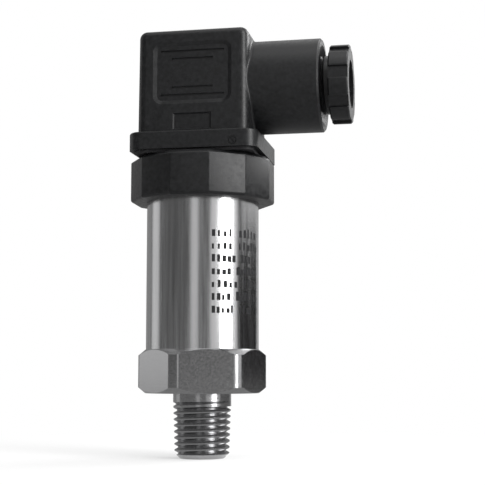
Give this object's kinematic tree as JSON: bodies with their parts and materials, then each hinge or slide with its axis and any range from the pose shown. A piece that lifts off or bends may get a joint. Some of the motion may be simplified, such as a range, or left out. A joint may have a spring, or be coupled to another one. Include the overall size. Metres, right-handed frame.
{
  "type": "pressure transmitter",
  "caption": "Pressure transmitter with a hexagonal threaded process connection, a steel tube housing and a right-angle cable plug held by a screw.",
  "frame": {"origin": "centre of the hexagon's underside, where the neck of the process thread begins", "axes": "+Z along the tube, up to the plug; +X out of the cable gland; +Y away from the plug's panel side"},
  "size_m": [0.0524, 0.0334, 0.0993],
  "materials": {
    "turned_stainless": "turned and milled, fine tool lines",
    "brushed_stainless": "fine brushed round the tube",
    "black_moulding": "satin moulded plastic",
    "gland_moulding": "satin moulded plastic",
    "grey_moulding": "moulded",
    "ivory_plastic": "moulded",
    "white_ceramic": "fired ceramic",
    "green_board": "solder mask",
    "component_black": "moulded",
    "component_tan": "ceramic chip",
    "component_blue": "moulded",
    "black_rubber": "moulded rubber",
    "brass": "turned",
    "tinned_blade": "tin plated",
    "tinned_contact": "tin plated",
    "tinned_wire": "tin plated",
    "zinc_steel": "zinc plated"
  },
  "bodies": {
    "transmitter": {"process_connection": "turned_stainless", "cell_seal": "black_rubber", "pressure_cell": "white_ceramic", "clamp_ring": "turned_stainless", "cell_leads": "tinned_wire", "housing_tube": "brushed_stainless", "board_carrier": "ivory_plastic", "circuit_board": "green_board", "link_board": "green_board", "amplifier_chip": "component_black", "board_capacitors": "component_tan", "board_trimmers": "component_blue", "connector_base": "black_moulding", "base_seal": "black_rubber", "screw_insert": "brass", "pin_1": "tinned_blade", "pin_2": "tinned_blade", "pin_3": "tinned_blade", "earth_pin": "tinned_blade", "plug_gasket": "black_rubber"},
    "plug": {"plug_housing": "black_moulding", "terminal_block": "grey_moulding", "contact_1": "tinned_contact", "contact_2": "tinned_contact", "contact_3": "tinned_contact", "earth_contact": "tinned_contact", "clamp_screws": "zinc_steel", "screw_washer": "black_rubber", "gland_seal": "black_rubber", "gland_washer": "zinc_steel"},
    "plug_screw": {"plug_screw": "zinc_steel"},
    "gland_screw": {"gland_screw": "gland_moulding"}
  },
  "joints": [
    {"name": "plug_pull", "type": "slide", "parent": "transmitter", "child": "plug", "axis": [0, 0, 1], "range_m": [0, 0.02]},
    {"name": "plug_screw_turn", "type": "hinge", "parent": "plug", "child": "plug_screw", "pos_m": [0, 0, 0.08], "axis": [0, 0, 1], "continuous": true},
    {"name": "gland_screw_turn", "type": "hinge", "parent": "plug", "child": "gland_screw", "pos_m": [0.02916, 0, 0.07219], "axis": [1, 0, 0], "continuous": true}
  ]
}
